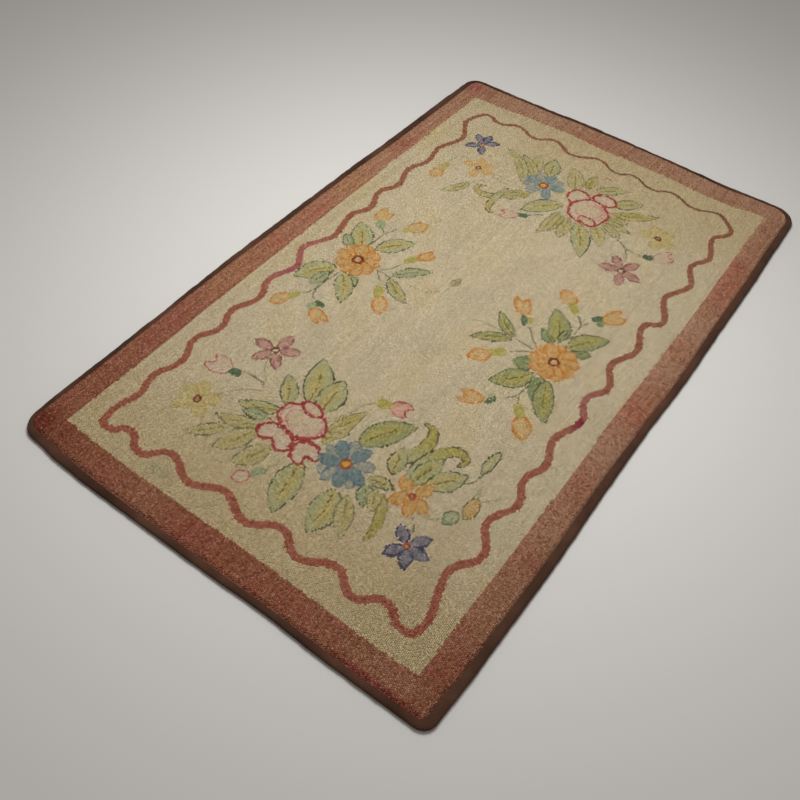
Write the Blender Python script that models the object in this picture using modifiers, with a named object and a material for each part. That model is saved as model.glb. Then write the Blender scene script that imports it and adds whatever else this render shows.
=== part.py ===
"""A hooked rug of about 3 by 5 feet, lying flat: the hooked wool field, and the tape that binds its edge.

Metres, +Z up. The origin is on the floor under the middle of the rug, +X runs along its short sides
and +Y along its long sides. The rug is hand made, so its sides bow and its four corners differ.
"""

import math
from collections import namedtuple

import bmesh
import bpy

# Distance from the origin to each side of the pile's rim, before the bows
RIM_LEFT = 0.4378
RIM_RIGHT = 0.4417
RIM_NEAR = 0.7470
RIM_FAR = 0.7415

# Thickness of the hooked field: loops, foundation and backing together
PILE_THICKNESS = 0.0110
PILE_RIM_ROUNDING = 0.0030
PILE_RIM_STEPS = 2
SHARP_ANGLE = math.radians(60.0)

# Long, shallow swells of the pile's top: height, waves for each metre, and how the waves wander
SWELL_HEIGHT = 0.00035
SWELL_WAVES_ACROSS = 3.1
SWELL_WAVES_ALONG = 2.3
SWELL_WANDER = 1.3
SWELL_WANDER_WAVES = 0.64
SWELL_START = 0.8

# Binding tape: a rolled edge with a hem that is turned under the rug
BINDING_HEIGHT = 0.0098
BINDING_FULLNESS = 2.3
BINDING_ROLL_STEPS = 9
HEM_REACH = 0.0280
HEM_THICKNESS = 0.0015
GAP = 0.0003

# Rows of the field's mesh: distances in from the rim, then even steps across the middle
RIM_ROWS = (0.0, 0.0030, 0.0065, 0.0110, 0.0170, 0.0240, 0.0325, 0.0360, 0.0480)
FIELD_STEP = 0.070
HEM_ROW_REACH = 0.0330

# Rounding of the pile's rim at each corner
Corner = namedtuple("Corner", "side_x side_y radius")
CORNERS = (
    Corner(side_x=-1, side_y=-1, radius=0.028),
    Corner(side_x=1, side_y=-1, radius=0.009),
    Corner(side_x=1, side_y=1, radius=0.042),
    Corner(side_x=-1, side_y=1, radius=0.026),
)

# The edge along each side: how far the pile's rim bows out, and how wide the tape is, at places along it
Edge = namedtuple("Edge", "along bow tape")
LEFT_EDGE = (
    Edge(along=-0.750, bow=0.0030, tape=0.0075),
    Edge(along=-0.620, bow=0.0040, tape=0.0108),
    Edge(along=-0.420, bow=0.0072, tape=0.0112),
    Edge(along=-0.310, bow=0.0105, tape=0.0116),
    Edge(along=-0.190, bow=0.0120, tape=0.0135),
    Edge(along=0.000, bow=0.0102, tape=0.0150),
    Edge(along=0.220, bow=0.0096, tape=0.0150),
    Edge(along=0.390, bow=0.0032, tape=0.0180),
    Edge(along=0.600, bow=0.0020, tape=0.0188),
    Edge(along=0.740, bow=0.0040, tape=0.0140),
)
RIGHT_EDGE = (
    Edge(along=-0.750, bow=-0.0105, tape=0.0195),
    Edge(along=-0.610, bow=-0.0035, tape=0.0175),
    Edge(along=-0.400, bow=0.0000, tape=0.0175),
    Edge(along=-0.200, bow=-0.0020, tape=0.0175),
    Edge(along=-0.060, bow=0.0008, tape=0.0150),
    Edge(along=0.110, bow=0.0056, tape=0.0152),
    Edge(along=0.290, bow=0.0028, tape=0.0168),
    Edge(along=0.440, bow=0.0024, tape=0.0176),
    Edge(along=0.600, bow=-0.0005, tape=0.0176),
    Edge(along=0.740, bow=-0.0010, tape=0.0160),
)
NEAR_EDGE = (
    Edge(along=-0.440, bow=-0.0130, tape=0.0150),
    Edge(along=-0.395, bow=-0.0100, tape=0.0165),
    Edge(along=-0.335, bow=-0.0045, tape=0.0172),
    Edge(along=-0.265, bow=-0.0012, tape=0.0168),
    Edge(along=-0.170, bow=0.0000, tape=0.0148),
    Edge(along=0.010, bow=-0.0003, tape=0.0145),
    Edge(along=0.130, bow=-0.0016, tape=0.0128),
    Edge(along=0.280, bow=0.0003, tape=0.0142),
    Edge(along=0.440, bow=-0.0010, tape=0.0150),
)
FAR_EDGE = (
    Edge(along=-0.430, bow=0.0048, tape=0.0080),
    Edge(along=-0.340, bow=0.0027, tape=0.0105),
    Edge(along=-0.230, bow=0.0040, tape=0.0105),
    Edge(along=-0.110, bow=0.0100, tape=0.0105),
    Edge(along=0.000, bow=0.0110, tape=0.0092),
    Edge(along=0.100, bow=0.0102, tape=0.0076),
    Edge(along=0.200, bow=0.0068, tape=0.0085),
    Edge(along=0.288, bow=0.0020, tape=0.0110),
    Edge(along=0.350, bow=0.0072, tape=0.0082),
    Edge(along=0.440, bow=0.0080, tape=0.0100),
)

WOOL_COLOUR = (0.33, 0.29, 0.17, 1.0)
WOOL_ROUGHNESS = 0.95
TAPE_COLOUR = (0.040, 0.026, 0.014, 1.0)
TAPE_ROUGHNESS = 0.85


def edge_at(edge, place):
    """The rim's bow and the tape's width at this place along a side, eased from row to row."""
    for start, end in zip(edge, edge[1:]):
        if place <= end.along:
            break
    share = min(max((place - start.along) / (end.along - start.along), 0.0), 1.0)
    eased = share * share * (3.0 - 2.0 * share)
    bow = start.bow + (end.bow - start.bow) * eased
    tape = start.tape + (end.tape - start.tape) * eased
    return bow, tape


def corner_radius(side_x, side_y):
    """The rim's radius at the corner on these sides."""
    for corner in CORNERS:
        if (corner.side_x, corner.side_y) == (side_x, side_y):
            return corner.radius
    return 0.0


def rounded(x, y):
    """Takes a point of the plain rectangle to the rectangle with round corners."""
    side_x = 1 if x > 0 else -1
    side_y = 1 if y > 0 else -1
    radius = corner_radius(side_x, side_y)
    middle_x = (RIM_RIGHT if side_x > 0 else RIM_LEFT) - radius
    middle_y = (RIM_FAR if side_y > 0 else RIM_NEAR) - radius
    across = (abs(x) - middle_x) / radius
    along = (abs(y) - middle_y) / radius
    if across <= 0.0 or along <= 0.0:
        return x, y
    bent_x = across * math.sqrt(1.0 - along * along / 2.0)
    bent_y = along * math.sqrt(1.0 - across * across / 2.0)
    return side_x * (middle_x + radius * bent_x), side_y * (middle_y + radius * bent_y)


def bowed(x, y):
    """Adds the sides' bows, which fade towards the middle of the rug."""
    if x > 0:
        out_x = edge_at(RIGHT_EDGE, y)[0] * x / RIM_RIGHT
    else:
        out_x = edge_at(LEFT_EDGE, y)[0] * x / RIM_LEFT
    if y > 0:
        out_y = edge_at(FAR_EDGE, x)[0] * y / RIM_FAR
    else:
        out_y = edge_at(NEAR_EDGE, x)[0] * y / RIM_NEAR
    return x + out_x, y + out_y


def plan_point(x, y):
    """The real place of a point of the plain rectangle."""
    return bowed(*rounded(x, y))


def rows(low, high):
    """Places of the mesh rows between two sides: close together at the rims, even between them."""
    first = [low + inset for inset in RIM_ROWS]
    last = [high - inset for inset in reversed(RIM_ROWS)]
    span = last[0] - first[-1]
    steps = round(span / FIELD_STEP)
    between = [first[-1] + span * k / steps for k in range(1, steps)]
    return first + between + last


def swell(x, y):
    """The pile's slow unevenness."""
    wander = SWELL_WANDER * math.sin(math.tau * SWELL_WANDER_WAVES * y)
    across = math.sin(math.tau * SWELL_WAVES_ACROSS * x + wander)
    along = math.sin(math.tau * SWELL_WAVES_ALONG * y + SWELL_START)
    return SWELL_HEIGHT * (across + along)


def under_height(x, y):
    """Height of the field's underside: it rests on the floor, and rides over the hem at the rim."""
    inset_x = min(x + RIM_LEFT, RIM_RIGHT - x)
    inset_y = min(y + RIM_NEAR, RIM_FAR - y)
    over_hem = min(inset_x, inset_y) < HEM_ROW_REACH
    return HEM_THICKNESS + GAP if over_hem else 0.0


def plain_material(name, colour, roughness):
    """A cloth finish of one colour."""
    material = bpy.data.materials.new(name)
    material.use_nodes = True
    surface = material.node_tree.nodes["Principled BSDF"]
    surface.inputs["Base Color"].default_value = colour
    surface.inputs["Roughness"].default_value = roughness
    surface.inputs["Metallic"].default_value = 0.0
    material.diffuse_color = colour
    return material


def add_object(name, mesh_edit, material, collection):
    """Makes an object of this edited mesh."""
    bmesh.ops.recalc_face_normals(mesh_edit, faces=mesh_edit.faces)
    mesh = bpy.data.meshes.new(name)
    mesh_edit.to_mesh(mesh)
    mesh_edit.free()
    mesh.materials.append(material)
    mesh.shade_smooth()
    mesh.set_sharp_from_angle(angle=SHARP_ANGLE)
    piece = bpy.data.objects.new(name, mesh)
    collection.objects.link(piece)
    return piece


def plain_point(vertex, columns, lines):
    """The point of the plain rectangle that a vertex of the unit grid stands for."""
    column = round((vertex.co.x + 1.0) / 2.0 * (len(columns) - 1))
    line = round((vertex.co.y + 1.0) / 2.0 * (len(lines) - 1))
    return columns[column], lines[line]


def build_field(columns, lines, collection):
    """The hooked field: one flat sheet with an uneven outline, soft swells and a rounded top rim."""
    sheet = bmesh.new()
    bmesh.ops.create_grid(sheet, x_segments=len(columns) - 1, y_segments=len(lines) - 1, size=1.0)
    top = list(sheet.verts)
    made = bmesh.ops.extrude_face_region(sheet, geom=list(sheet.faces), use_keep_orig=True)
    under = [item for item in made["geom"] if isinstance(item, bmesh.types.BMVert)]
    for vertex in top:
        x, y = plan_point(*plain_point(vertex, columns, lines))
        vertex.co = (x, y, PILE_THICKNESS + swell(x, y))
    for vertex in under:
        plain = plain_point(vertex, columns, lines)
        vertex.co = (*plan_point(*plain), under_height(*plain))
    material = plain_material("hooked_wool", WOOL_COLOUR, WOOL_ROUGHNESS)
    field = add_object("hooked_field", sheet, material, collection)
    rounding = field.modifiers.new("rim rounding", "BEVEL")
    rounding.width = PILE_RIM_ROUNDING
    rounding.segments = PILE_RIM_STEPS
    rounding.limit_method = "ANGLE"
    rounding.angle_limit = SHARP_ANGLE
    return field


def rim_loop(columns, lines):
    """The pile's rim as a closed loop of points, anticlockwise from above."""
    low_x, high_x = columns[0], columns[-1]
    low_y, high_y = lines[0], lines[-1]
    near = [plan_point(x, low_y) for x in columns[:-1]]
    right = [plan_point(high_x, y) for y in lines[:-1]]
    far = [plan_point(x, high_y) for x in reversed(columns[1:])]
    left = [plan_point(low_x, y) for y in reversed(lines[1:])]
    return near + right + far + left


def outward(before, after):
    """The level direction out of the rug, between two neighbours on its rim."""
    along_x = after[0] - before[0]
    along_y = after[1] - before[1]
    length = math.hypot(along_x, along_y)
    return along_y / length, -along_x / length


def tape_width(x, y, out_x, out_y):
    """The tape's width at this place on the rim: that of its side, and turning into the next's at a corner."""
    long_side = edge_at(RIGHT_EDGE if out_x > 0 else LEFT_EDGE, y)[1]
    short_side = edge_at(FAR_EDGE if out_y > 0 else NEAR_EDGE, x)[1]
    return long_side * out_x**2 + short_side * out_y**2


def fuller(value):
    """Swells a sine or cosine a little, so that the rolled edge is squarer than an ellipse."""
    return math.copysign(abs(value) ** (2.0 / BINDING_FULLNESS), value)


def binding_section(width):
    """The tape's closed section as (distance out of the rim, height): the roll, then the hem."""
    half_width = (width - GAP) / 2.0
    half_height = BINDING_HEIGHT / 2.0
    points = []
    for step in range(BINDING_ROLL_STEPS + 1):
        angle = math.pi * (1.0 - 1.5 * step / BINDING_ROLL_STEPS)
        distance = GAP + half_width * (1.0 + fuller(math.cos(angle)))
        points.append((distance, half_height * (1.0 + fuller(math.sin(angle)))))
    points.append((-HEM_REACH, 0.0))
    points.append((-HEM_REACH, HEM_THICKNESS))
    points.append((GAP, HEM_THICKNESS))
    return points


def build_binding(columns, lines, collection):
    """The edge binding: one tape that runs round all four sides and is turned under them."""
    loop = rim_loop(columns, lines)
    tape = bmesh.new()
    rings = []
    for number, place in enumerate(loop):
        before = loop[number - 1]
        after = loop[(number + 1) % len(loop)]
        out_x, out_y = outward(before, after)
        width = tape_width(*place, out_x, out_y)
        ring = []
        for distance, height in binding_section(width):
            x = place[0] + out_x * distance
            y = place[1] + out_y * distance
            ring.append(tape.verts.new((x, y, height)))
        rings.append(ring)
    for number, ring in enumerate(rings):
        following = rings[(number + 1) % len(rings)]
        for step in range(len(ring)):
            ahead = (step + 1) % len(ring)
            tape.faces.new((ring[step], following[step], following[ahead], ring[ahead]))
    material = plain_material("binding_tape", TAPE_COLOUR, TAPE_ROUGHNESS)
    return add_object("edge_binding", tape, material, collection)


def clear_scene():
    """Removes what the scene holds."""
    for thing in list(bpy.data.objects):
        bpy.data.objects.remove(thing, do_unlink=True)


def main():
    clear_scene()
    collection = bpy.data.collections.new("hooked_rug")
    bpy.context.scene.collection.children.link(collection)
    columns = rows(-RIM_LEFT, RIM_RIGHT)
    lines = rows(-RIM_NEAR, RIM_FAR)
    build_field(columns, lines, collection)
    build_binding(columns, lines, collection)


main()
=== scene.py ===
"""The looks of a hooked rug: looped wool pile with its flower pattern, foundation cloth and bound edge.

Metres, +Z up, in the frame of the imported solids. The pattern is laid out in millimetres on a drawing
whose origin is near the rug's middle, with +X to the right and +Y to the far end. Every loop of the
pile is a small dome of one yarn, and it takes the colour that the drawing has at its place.
"""

import math
from collections import namedtuple

import bpy
import numpy as np
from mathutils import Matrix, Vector


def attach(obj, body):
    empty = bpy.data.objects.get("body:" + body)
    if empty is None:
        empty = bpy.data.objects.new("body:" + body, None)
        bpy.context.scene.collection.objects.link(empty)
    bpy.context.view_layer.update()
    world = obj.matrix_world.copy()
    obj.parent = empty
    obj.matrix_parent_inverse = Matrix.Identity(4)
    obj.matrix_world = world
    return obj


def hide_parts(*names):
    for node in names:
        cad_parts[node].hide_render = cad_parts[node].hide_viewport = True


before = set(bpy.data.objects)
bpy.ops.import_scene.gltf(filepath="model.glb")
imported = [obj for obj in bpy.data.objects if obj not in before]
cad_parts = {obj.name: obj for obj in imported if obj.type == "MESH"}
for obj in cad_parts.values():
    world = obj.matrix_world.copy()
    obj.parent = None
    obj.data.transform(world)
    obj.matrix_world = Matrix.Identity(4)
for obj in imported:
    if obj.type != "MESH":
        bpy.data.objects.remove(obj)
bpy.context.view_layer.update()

BODY = "root"

# Camera: the photograph's viewing angle
CAMERA_PLACE = (0.6212, -1.1797, 1.2950)
CAMERA_TURN_DEGREES = (39.53, -3.02, 35.95)
CAMERA_LENS_MM = 40.12
SENSOR_MM = 36.0

# Studio: one square lamp, the even surround and the pale floor
LAMP_PLACE = (-0.12, 0.05, 1.35)
LAMP_AIM = (0.0, 0.02, 0.0)
LAMP_SIZE = 0.8
LAMP_WATTS = 19.2
SURROUND_COLOUR = (1.0, 0.98, 0.95, 1.0)
SURROUND_STRENGTH = 0.30
FLOOR_COLOUR = (0.62, 0.60, 0.57, 1.0)
FLOOR_SIZE = 12.0

# The rug's form, as in the solids: distance from the origin to each side of the rim, before the bows
RIM_LEFT = 0.4378
RIM_RIGHT = 0.4417
RIM_NEAR = 0.7470
RIM_FAR = 0.7415
PILE_THICKNESS = 0.0110
SWELL_HEIGHT = 0.00035
SWELL_WAVES_ACROSS = 3.1
SWELL_WAVES_ALONG = 2.3
SWELL_WANDER = 1.3
SWELL_WANDER_WAVES = 0.64
SWELL_START = 0.8
BINDING_HEIGHT = 0.0098
BINDING_FULLNESS = 2.3
HEM_REACH = 0.0280
HEM_THICKNESS = 0.0015
HEM_ROW_REACH = 0.0330
GAP = 0.0003

Corner = namedtuple("Corner", "side_x side_y radius")
CORNERS = (
    Corner(-1, -1, 0.028), Corner(1, -1, 0.009), Corner(1, 1, 0.042), Corner(-1, 1, 0.026),
)

# Along each side, in millimetres: a place, the pile's bow outwards there, and the tape's width
LEFT_EDGE = (
    (-750, 3.0, 7.5), (-620, 4.0, 10.8), (-420, 7.2, 11.2), (-310, 10.5, 11.6), (-190, 12.0, 13.5),
    (0, 10.2, 15.0), (220, 9.6, 15.0), (390, 3.2, 18.0), (600, 2.0, 18.8), (740, 4.0, 14.0),
)
RIGHT_EDGE = (
    (-750, -10.5, 19.5), (-610, -3.5, 17.5), (-400, 0.0, 17.5), (-200, -2.0, 17.5), (-60, 0.8, 15.0),
    (110, 5.6, 15.2), (290, 2.8, 16.8), (440, 2.4, 17.6), (600, -0.5, 17.6), (740, -1.0, 16.0),
)
NEAR_EDGE = (
    (-440, -13.0, 15.0), (-395, -10.0, 16.5), (-335, -4.5, 17.2), (-265, -1.2, 16.8), (-170, 0.0, 14.8),
    (10, -0.3, 14.5), (130, -1.6, 12.8), (280, 0.3, 14.2), (440, -1.0, 15.0),
)
FAR_EDGE = (
    (-430, 4.8, 8.0), (-340, 2.7, 10.5), (-230, 4.0, 10.5), (-110, 10.0, 10.5), (0, 11.0, 9.2),
    (100, 10.2, 7.6), (200, 6.8, 8.5), (288, 2.0, 11.0), (350, 7.2, 8.2), (440, 8.0, 10.0),
)

# The pile: rows of loops along Y, each loop a dome of seven points
ROW_PITCH = 0.0031
LOOP_PITCH = 0.00345
LOOP_INSET = -0.0006
LOOP_WANDER = 0.00028
LOOP_HEIGHT_VARIATION = 0.00022
LOOP_LEAN = 0.00035
LOOP_FALL = 0.0022
LOOP_SPREAD = 0.62
LOOP_SIDES = 6
RIM_ROLL = 0.0075
RIM_DROP = 0.0026
# How much the pile darkens towards its rim: partly painted shade beside the binding, partly dirt
RIM_PAINTED_SHADE_AND_DIRT = 0.30
PILE_STRIPS = 5

# The foundation cloth under the loops
FOUNDATION_STEP = 0.008
FOUNDATION_TOP = 0.0088
FOUNDATION_INSET = 0.0010

# The bound edge
BINDING_STEP = 0.0040
BINDING_ROLL_STEPS = 15
HEM_STEPS = 3
PUCKER_HEIGHT = 0.00035
BAKE_ROWS = 8
RING_STEP = 0.0016
TAPE_COLOUR = (0.062, 0.028, 0.016)

# The drawing: its millimetres on the rug
DRAWING_SCALE = 0.00099
DRAWING_SHIFT_X = 0.0012
DRAWING_SHIFT_Y = -0.0025

# Where the cream field meets the rose border, in drawing millimetres: places along each side and across it
LEFT_MEETING = (
    (-700, -395), (-600, -395), (-400, -396), (-200, -400), (0, -400), (200, -401.5), (300, -404),
    (400, -400), (600, -401), (700, -400),
)
RIGHT_MEETING = (
    (-700, 390), (-600, 392), (-400, 394), (-200, 395), (-50, 394.5), (0, 396.5), (100, 397.5),
    (200, 398.5), (600, 398.5), (700, 398),
)
NEAR_MEETING = (
    (-390, -694), (-250, -699.5), (-100, -699), (50, -697.5), (200, -699), (300, -702), (390, -700),
)
FAR_MEETING = (
    (-390, 687), (-300, 690), (-250, 696), (-200, 699), (-120, 704), (-60, 698), (-20, 696), (0, 698),
    (150, 699), (240, 693), (300, 693), (340, 697), (355, 703), (380, 705),
)

# Dyed yarns, as screen colours in the middle of the light, and two rose tones for painted highlight and
# painted shade
YARNS = {
    "cream": (187, 173, 143), "cream_grey": (170, 158, 130), "cream_gold": (184, 165, 124),
    "cream_darker": (179, 159, 119), "yellowed": (182, 164, 104), "rose_far": (157, 116, 88),
    # The palest and the darkest rose here are painted highlight and painted shade for single border loops
    "rose_near": (140, 87, 62), "rose_wine": (142, 72, 62), "rose_painted_highlight": (196, 156, 130),
    "rose_painted_shade": (96, 52, 42), "rose_red": (160, 88, 68), "rose_gold": (156, 112, 70),
    "rose_faded": (162, 127, 101), "rose_olive": (158, 121, 92), "rose_deep": (102, 40, 20),
    "crimson": (134, 40, 46), "wave": (138, 88, 64), "wave_near": (150, 88, 68),
    "wave_pink": (158, 100, 90), "wave_magenta": (150, 78, 77), "wave_crimson": (128, 44, 58),
    "wave_mauve": (150, 92, 82), "wave_dark": (108, 70, 46), "leaf_pale": (160, 157, 115),
    "leaf_mid": (143, 143, 96), "leaf_gold": (174, 156, 96), "leaf_yellow": (160, 148, 82),
    "leaf_faded": (172, 160, 116), "leaf_teal": (120, 131, 90), "leaf_wan": (170, 154, 98),
    "leaf_mint": (142, 149, 112), "leaf_line": (82, 80, 56), "leaf_line_soft": (116, 112, 76),
    "teal": (87, 102, 73), "stem": (104, 106, 76), "stem_faded": (146, 140, 100),
    "calyx_yellow": (165, 154, 84), "pink_line": (172, 92, 84), "pink_fill": (192, 146, 126),
    "rose_line": (151, 60, 56), "rose_fill": (187, 166, 141), "rose_inner": (186, 124, 106),
    "orange_line": (184, 118, 44), "orange_fill": (184, 150, 94), "orange_pale": (186, 153, 101),
    "orange_dull": (172, 126, 64), "orange_gold": (179, 149, 96), "daisy_red": (112, 54, 38),
    "rust": (150, 72, 48), "daisy_line": (182, 112, 42), "yellow": (196, 160, 62),
    "straw_line": (168, 150, 84), "straw_fill": (182, 164, 115), "brown": (104, 62, 38),
    "mauve_line": (128, 76, 74), "mauve_fill": (176, 138, 120), "blue": (114, 127, 122),
    "blue_deep": (94, 110, 116), "blue_pale": (152, 149, 127), "blue_soft": (131, 139, 126),
    "navy_line": (66, 62, 86), "navy_fill": (131, 125, 125), "stain": (150, 146, 110),
    "burlap": (150, 124, 86), "fleck": (112, 96, 74),
}
YARN_GAIN = 1.455
CREAM_VARIATION = 0.09
DYED_VARIATION = 0.18
MOTTLE = 0.012
ROW_CONTRAST = 0.03
BORDER_ROW_CONTRAST = 0.08
# Share of each loop's change of brightness that is neutral grey: painted highlight and painted shade on the
# loops; the rest is yarn tone
GREY_SHARE = 0.4
# Painted shade: each loop's ring of points, down among its neighbours, keeps this share of its colour
LOOP_ROOT_PAINTED_SHADE = 0.38

# Half widths of hooked lines, in drawing millimetres: about one, and about two, loops wide in all
FINE_LINE = 1.6
BOLD_LINE = 2.8

# Leaves, petals and strokes narrow from their fullest place to both ends, faster or slower
Shape = namedtuple("Shape", "fullest base_power tip_power")
SHAPES = {
    "leaf": Shape(0.45, 0.70, 0.85), "broad": Shape(0.62, 0.80, 0.48), "soft": Shape(0.56, 0.80, 0.72),
    "pointed": Shape(0.52, 0.85, 0.90), "stroke": Shape(0.50, 0.25, 0.25),
    "scroll": Shape(0.35, 0.60, 0.60),
}

# Closed outlines: radii at equal bearings, anticlockwise from the shape's own forward direction
OUTLINES = {
    "oval": (1.00, 0.99, 1.01, 1.00, 0.97, 1.00, 1.02, 1.00, 0.98, 1.00, 1.01, 0.99),
    "pod": (1.05, 0.96, 0.98, 1.00, 0.96, 0.94, 1.00, 0.94, 0.96, 1.00, 0.98, 0.96),
    "tulip": (0.46, 1.10, 0.92, 0.76, 0.74, 0.82, 0.90, 0.82, 0.74, 0.74, 0.82, 0.94),
    "notched": (0.42, 1.05, 1.10, 1.00, 0.92, 0.90, 0.84, 0.90, 0.92, 1.00, 1.08, 1.05),
    "bowl": (1.02, 0.95, 1.00, 1.04, 0.97, 1.01, 0.96, 1.02, 0.99, 1.02, 1.04, 0.97),
}

LeafDyes = namedtuple("LeafDyes", "rim heart line")
LEAF_DYES = {
    "sage": LeafDyes("leaf_pale", "leaf_gold", "leaf_line"),
    "moss": LeafDyes("leaf_mid", "leaf_yellow", "leaf_line"),
    "faded": LeafDyes("leaf_faded", "leaf_wan", "leaf_line_soft"),
    "teal": LeafDyes("leaf_teal", "leaf_mid", "leaf_line"),
    "olive": LeafDyes("leaf_pale", "leaf_yellow", "leaf_line"),
    "mint": LeafDyes("leaf_mint", "leaf_pale", "leaf_line"),
    "gold": LeafDyes("leaf_wan", "leaf_yellow", "leaf_line_soft"),
    "curl": LeafDyes("leaf_pale", "leaf_wan", "leaf_line"),
}

FlowerDyes = namedtuple("FlowerDyes", "fill line ring middle line_half")
FLOWER_DYES = {
    "navy": FlowerDyes("navy_fill", "navy_line", "rust", "orange_fill", 2.4),
    "orange": FlowerDyes("orange_pale", "orange_fill", "brown", "mauve_fill", 1.7),
    "apricot": FlowerDyes("orange_fill", "orange_line", "rust", "rose_gold", 1.8),
    "daisy": FlowerDyes("orange_fill", "daisy_line", "daisy_red", "orange_fill", 2.5),
    "faded daisy": FlowerDyes("orange_gold", "daisy_line", "daisy_red", "orange_fill", 2.5),
    "straw": FlowerDyes("straw_fill", "straw_line", "brown", "rose_gold", 2.0),
    "mauve": FlowerDyes("mauve_fill", "mauve_line", "brown", "cream", 2.0),
}

BudDyes = namedtuple("BudDyes", "fill line line_half")
BUD_DYES = {
    "bold rose": BudDyes("rose_fill", "rose_line", 3.2),
    "orange": BudDyes("orange_pale", "orange_line", 2.6),
    "dull orange": BudDyes("orange_pale", "orange_dull", 2.4),
    "peach": BudDyes("orange_pale", "orange_line", 1.5), "pink": BudDyes("pink_fill", "rose_line", 1.7),
    "rose": BudDyes("rose_fill", "pink_line", 1.7), "green": BudDyes("leaf_pale", "leaf_line", 1.6),
    "mint": BudDyes("leaf_mint", "teal", 1.6), "cupped": BudDyes("orange_fill", "teal", 1.6),
}

Leaf = namedtuple("Leaf", "base_x base_y tip_x tip_y half_width bend dye")
Flower = namedtuple("Flower", "x y radius petal_half angles shape dye ring_radius")
BlueFlower = namedtuple("BlueFlower", "x y radius petal_half blue_angles pale_angles fill line")
Bud = namedtuple("Bud", "x y half_long half_wide turn outline dye")
Calyx = namedtuple("Calyx", "x y half_long half_wide turn dye")
Stem = namedtuple("Stem", "points dye", defaults=("stem",))
Scroll = namedtuple("Scroll", "half_width dye points")
Arc = namedtuple("Arc", "x y half_long half_wide start end line half_line", defaults=(FINE_LINE,))

TOP_SPRAY = (
    Stem(((128, 412), (160, 408), (182, 398), (198, 380), (210, 352))),
    Stem(((190, 392), (214, 390), (236, 392))),
    Stem(((-127, 422), (-155, 420), (-192, 424)), "stem_faded"),
    Stem(((-120, 434), (-160, 436), (-205, 430)), "stem_faded"),
    Stem(((-180, 400), (-200, 388), (-214, 366)), "stem_faded"),
    Stem(((-262, 448), (-288, 440), (-297, 410), (-297, 396)), "stem_faded"),
    Stem(((-10, 378), (-28, 364), (-42, 350))), Stem(((34, 530), (42, 556), (44, 578)), "stem_faded"),
    Scroll(9, "curl", ((-122, 386), (-140, 364), (-166, 352), (-186, 358), (-190, 374), (-176, 384))),
    Scroll(9, "curl", ((-130, 408), (-134, 366), (-134, 332), (-124, 310), (-106, 308))),
    Leaf(-76, 512, -98, 582, 20, 0, "sage"), Leaf(-104, 500, -138, 578, 14, 3, "faded"),
    Leaf(-99, 480, -172, 548, 12, -8, "faded"), Leaf(-118, 452, -213, 546, 14, -16, "faded"),
    Leaf(0, 500, -46, 580, 20, -4, "faded"), Leaf(19, 528, 14, 586, 13, 0, "gold"),
    Leaf(44, 530, 103, 582, 15, 5, "sage"), Leaf(99, 508, 156, 560, 17, 4, "sage"),
    Leaf(107, 482, 204, 542, 14, -6, "gold"), Leaf(106, 464, 158, 472, 11, 0, "gold"),
    Leaf(108, 450, 174, 446, 12, 0, "sage"), Leaf(104, 436, 164, 416, 11, 3, "faded"),
    Leaf(94, 424, 140, 360, 17, 3, "faded"), Leaf(60, 404, 122, 300, 22, 5, "sage"),
    Leaf(39, 404, 52, 326, 15, 0, "faded"), Leaf(24, 404, 22, 332, 11, 0, "gold"),
    Leaf(10, 410, 5, 310, 13, 3, "faded"), Leaf(4, 440, -66, 358, 22, -4, "sage"),
    Leaf(-76, 424, -134, 384, 15, 3, "gold"), Leaf(-92, 410, -120, 372, 12, 0, "faded"),
    Leaf(-212, 366, -250, 300, 11, 4, "faded"), Bud(-296, 350, 20, 15, -90, "pod", "peach"),
    Bud(272, 416, 27, 22, 50, "tulip", "rose"), Bud(-78, 327, 24, 19, -160, "tulip", "rose"),
    Calyx(-297, 382, 15, 12, 90, "leaf_wan"), Calyx(244, 397, 11, 9, 20, "teal"),
    Calyx(-50, 344, 11, 8, 10, "teal"),
    Flower(-272, 517, 45, 9, (90, 138, 42, -62, -136), "pointed", "navy", 6),
    Flower(-228, 430, 42, 10, (104, 50, -6, -84, 178), "soft", "orange", 8),
    Flower(233, 471, 44, 13, (60, -14, -80, 182, 124), "soft", "straw", 8.5),
    Flower(216, 319, 50, 10.5, (132, 64, -8, -72, 194), "soft", "mauve", 9),
)

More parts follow.
